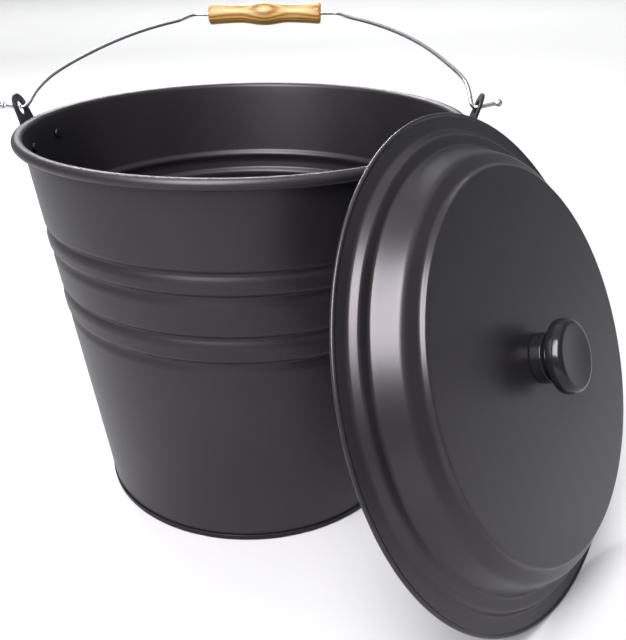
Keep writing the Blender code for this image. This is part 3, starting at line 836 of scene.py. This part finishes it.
def lid_section():
    """Outer face of the lid: rolled hem, flat ring, two steps, cone shoulder, crown step and flat top."""
    centre = (lid_radius - lid_hem_radius, lid_hem_rise - lid_hem_radius)
    hem = arc(centre, lid_hem_radius, lid_hem_start, lid_hem_end, count=16)
    corners = [tuple(hem[-1]), (hem[-1, 0] - lid_hem_rise, 0.0), *lid_corners, (screw_hole, lid_top)]
    return np.vstack([hem[:-1], refined(filleted(corners, lid_fillets), lid_step)])


def make_lid():
    """Lid: its face moved inwards by the sheet, the edges rounded, all turned about the lid's axis."""
    face = lid_section()
    normal = left_normals(face)
    section = sheet_section(face + normal * sheet / 2, sheet)
    grid_piece("lid", placed(turned(section, shell_steps), lid_place), "lid", lid_coat,
               ["lid_shell"], crest=crest_of(section, True))


def make_knob():
    """Knob: foot, neck and mushroom head turned about the lid's axis, over the pocket of its insert.

    The middle of the head is a shallow dish: its height is that of its floor, plus its depth times
    (radius / dish radius) squared.
    """
    dish_radius = knob_head_radius * knob_dish_share
    corners = [(dish_radius, knob_height - knob_dish), (knob_head_radius - knob_face_inset, knob_height),
               (knob_head_radius, knob_head_widest), (knob_head_radius - knob_head_tuck, knob_head_bottom),
               (knob_neck_radius, knob_neck_top), (knob_neck_radius, knob_foot_height),
               (knob_foot_radius, knob_foot_height - knob_foot_slant), (knob_foot_radius, gap),
               (pocket_radius, gap), (pocket_radius, pocket_depth), (0.0, pocket_depth)]
    reach = np.linspace(0, dish_radius, 14, endpoint=False)
    dish = np.stack([reach, knob_height - 2 * knob_dish + knob_dish * (reach / dish_radius) ** 2], axis=1)
    section = refined(np.vstack([dish, filleted(corners, knob_rounds)]), knob_step)
    section[0, 0] = section[-1, 0] = 0.0
    place = lid_place @ shift(0, 0, lid_top)
    grid_piece("knob", placed(turned(section, knob_steps), place), "lid", knob_resin,
               ["lid_knob"], loop=False, poles=True)


def make_screw():
    """Screw: pan head with a cross recess, its depth falling off from two crossed slots, and a shank."""
    head_top = -(sheet + gap + washer_sheet + gap)
    head_bottom = head_top - screw_head_height
    tip = head_top + screw_length
    rise = screw_dome_rise * (np.linspace(0, 1, dome_rows) ** 3)
    dome = np.stack([np.linspace(0, screw_dome_radius, dome_rows), head_bottom + rise], axis=1)
    corners = [dome[-1], (screw_head_radius, head_bottom + screw_edge_rise), (screw_head_radius, head_top),
               (screw_shank_radius, head_top), (screw_shank_radius, tip - screw_tip_length),
               (screw_tip_radius, tip), (0.0, tip)]
    shank = filleted(corners, screw_rounds, count=4)
    section = np.vstack([dome, shank[1:]])
    section[0, 0] = section[-1, 0] = 0.0
    grid = turned(section, small_steps)
    near = np.abs(grid[..., :2])
    recess = np.clip((recess_half - near.min(axis=-1)) / recess_slope, 0, 1)
    recess *= np.clip((recess_reach - near.max(axis=-1)) / recess_end, 0, 1)
    grid[..., 2] += recess_depth * recess * (grid[..., 2] < head_bottom + recess_top)
    place = lid_place @ shift(0, 0, lid_top)
    grid_piece("screw", placed(grid, place), "lid", zinc, ["knob_screw"],
               loop=False, poles=True, sharp=50)


def stand(made, right, up, back, position):
    """Put a camera or light at a position, its own axes along right, up and back."""
    matrix = np.eye(4)
    matrix[:3] = np.stack([right, up, back, position], axis=1)
    made.matrix_world = Matrix(matrix.tolist())
    bpy.context.scene.collection.objects.link(made)


def make_camera():
    """Camera at the photograph's angle: level axes turned by a small roll, and a lens shift to frame it."""
    back = unit(np.array(camera_back))
    level = np.array([math.cos(camera_turn), math.sin(camera_turn), 0.0])
    steep = np.cross(back, level)
    right = math.cos(camera_roll) * level + math.sin(camera_roll) * steep
    up = math.cos(camera_roll) * steep - math.sin(camera_roll) * level
    data = bpy.data.cameras.new("camera")
    data.sensor_fit = "VERTICAL"
    data.sensor_height = 36.0
    data.lens = camera_lens
    data.shift_x, data.shift_y = camera_shift
    data.clip_start = 0.01
    camera = bpy.data.objects.new("camera", data)
    stand(camera, right, up, back, camera_position)
    bpy.context.scene.camera = camera


def make_light(name, position, target, size, power, colour=(1.0, 1.0, 1.0)):
    """Rectangular soft box at a position, facing a target."""
    data = bpy.data.lights.new(name, "AREA")
    data.shape = "RECTANGLE"
    data.size = size[0]
    data.size_y = size[1]
    data.energy = power
    data.color = colour
    made = bpy.data.objects.new(name, data)
    back = unit(np.subtract(position, target))
    right = unit(np.cross((0, 0, 1), back))
    stand(made, right, np.cross(back, right), back, position)
    return made


def make_overhead(toward, spread, strength):
    """Wide, even light from above that reaches the whole floor."""
    data = bpy.data.lights.new("overhead", "SUN")
    data.energy = strength
    data.angle = math.radians(spread)
    made = bpy.data.objects.new("overhead", data)
    made.rotation_euler = Vector(toward).to_track_quat("Z", "Y").to_euler()
    bpy.context.scene.collection.objects.link(made)


def make_floor(half_side):
    """Flat square floor, a hair under the bucket's foot."""
    mesh = bpy.data.meshes.new("floor")
    square = [(-1, -1), (1, -1), (1, 1), (-1, 1)]
    corners = [(half_side * across, half_side * along, -gap) for across, along in square]
    mesh.from_pydata(corners, [], [(0, 1, 2, 3)])
    mesh.materials.append(pale_floor("floor"))
    floor = bpy.data.objects.new("floor", mesh)
    bpy.context.scene.collection.objects.link(floor)


def make_studio():
    """Pale floor, dim even surroundings, a light from above, a tall soft box at front left and two behind."""
    make_floor(half_side=60.0)
    world = bpy.data.worlds.new("studio")
    world.use_nodes = True
    sky = world.node_tree.nodes["Background"]
    sky.inputs["Color"].default_value = (0.94, 0.95, 1.0, 1.0)
    sky.inputs["Strength"].default_value = 0.38
    bpy.context.scene.world = world
    make_overhead(toward=(-0.10, 0.05, 1.0), spread=90.0, strength=1.1)
    make_light("key", position=(-0.27, -0.93, 1.25), target=(0.10, -0.20, 0.22), size=(0.66, 1.20),
               power=70.0, colour=(0.98, 0.96, 1.0))
    make_light("back", position=(-0.60, 1.60, 1.50), target=(0.0, 0.0, 0.25), size=(1.40, 0.30),
               power=50.0)
    # The far box only lights the floor behind, so the black coats don't mirror it
    far = make_light("far", position=(0.0, 4.20, 3.20), target=(0.0, 4.60, 0.0), size=(7.00, 4.60),
                     power=440.0)
    far.visible_glossy = False


make_camera()
make_wall()
make_foot()
for side, turn in (("left", math.pi), ("right", 0.0)):
    make_ear(side, turn)
    front = rivet_azimuth if side == "left" else -rivet_azimuth
    make_rivet(side, "front", turn + front)
    make_rivet(side, "back", turn - front)
make_bail()
make_grip()
make_lid()
make_knob()
make_screw()
for name, metal in (("rim_wire", zinc), ("knob_washer", zinc), ("knob_insert", brass)):
    nodes[name].data.materials.clear()
    nodes[name].data.materials.append(metal)
make_studio()
bpy.context.scene.view_settings.view_transform = "Standard"
